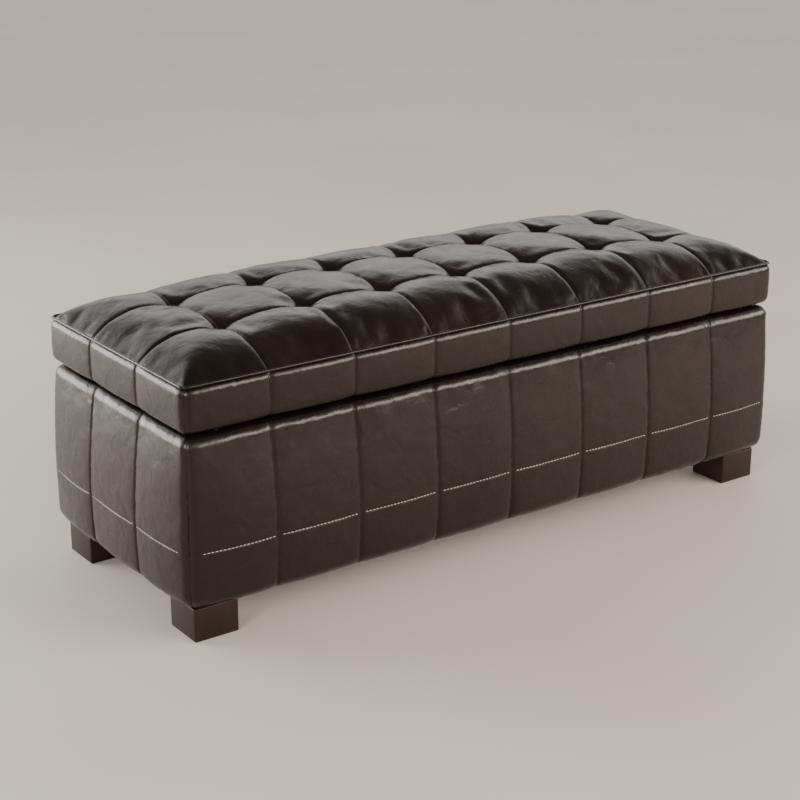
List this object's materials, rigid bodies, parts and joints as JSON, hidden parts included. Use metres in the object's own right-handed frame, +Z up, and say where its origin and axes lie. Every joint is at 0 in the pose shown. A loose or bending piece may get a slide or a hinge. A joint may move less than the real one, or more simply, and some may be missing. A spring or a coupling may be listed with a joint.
{
  "type": "storage bench",
  "caption": "Long padded storage bench in dark leather: panelled box base on block feet, rear-hinged tufted lid with a welted edge, lined compartment inside.",
  "frame": {"origin": "on the floor, under the centre of the bench", "axes": "+X along the bench's length, -Y is the front, +Y is the hinged back, +Z is up"},
  "size_m": [1.2196, 0.4696, 0.457],
  "materials": {
    "leather": "glossy bonded leather, dark espresso",
    "foot_wood": "satin espresso stain",
    "plywood": "raw plywood",
    "foam": "polyurethane foam",
    "wadding": "polyester wadding",
    "lining": "black non-woven cloth",
    "dust_cloth": "black spun-bond dust cover",
    "rubber": "matte black",
    "twine": "waxed twine",
    "zinc_steel": "zinc plated",
    "hinge_steel": "plated steel, satin"
  },
  "bodies": {
    "base": {"front_board": "plywood", "back_board": "plywood", "left_board": "plywood", "right_board": "plywood", "bottom_board": "plywood", "corner_blocks": "plywood", "frame_screws": "zinc_steel", "front_pad": "foam", "back_pad": "foam", "left_pad": "foam", "right_pad": "foam", "front_cover": "leather", "back_cover": "leather", "left_cover": "leather", "right_cover": "leather", "front_lining": "lining", "back_lining": "lining", "left_lining": "lining", "right_lining": "lining", "corner_linings": "lining", "bottom_lining": "lining", "dust_cover": "dust_cloth", "dust_cover_staples": "zinc_steel", "foot_front_left": "foot_wood", "foot_front_right": "foot_wood", "foot_back_left": "foot_wood", "foot_back_right": "foot_wood", "foot_bolts": "zinc_steel", "foot_tee_nuts": "zinc_steel", "rim_buffers": "rubber", "hinge_base_leaf_1": "hinge_steel", "hinge_base_leaf_2": "hinge_steel", "hinge_base_leaf_3": "hinge_steel", "hinge_pin_1": "hinge_steel", "hinge_pin_2": "hinge_steel", "hinge_pin_3": "hinge_steel", "hinge_screws_base": "hinge_steel"},
    "lid": {"lid_board": "plywood", "lid_foam": "foam", "lid_wadding": "wadding", "lid_top_cover": "leather", "lid_border_front": "leather", "lid_border_back": "leather", "lid_border_left": "leather", "lid_border_right": "leather", "lid_welt": "leather", "lid_lining": "lining", "tuft_twines": "twine", "tuft_anchors": "zinc_steel", "hinge_lid_leaf_1": "hinge_steel", "hinge_lid_leaf_2": "hinge_steel", "hinge_lid_leaf_3": "hinge_steel", "hinge_screws_lid": "hinge_steel"}
  },
  "joints": [
    {"name": "lid_hinge", "type": "hinge", "parent": "base", "child": "lid", "pos_m": [0, 0.213, 0.331], "axis": [-1, 0, 0], "range_deg": [0, 100]}
  ]
}
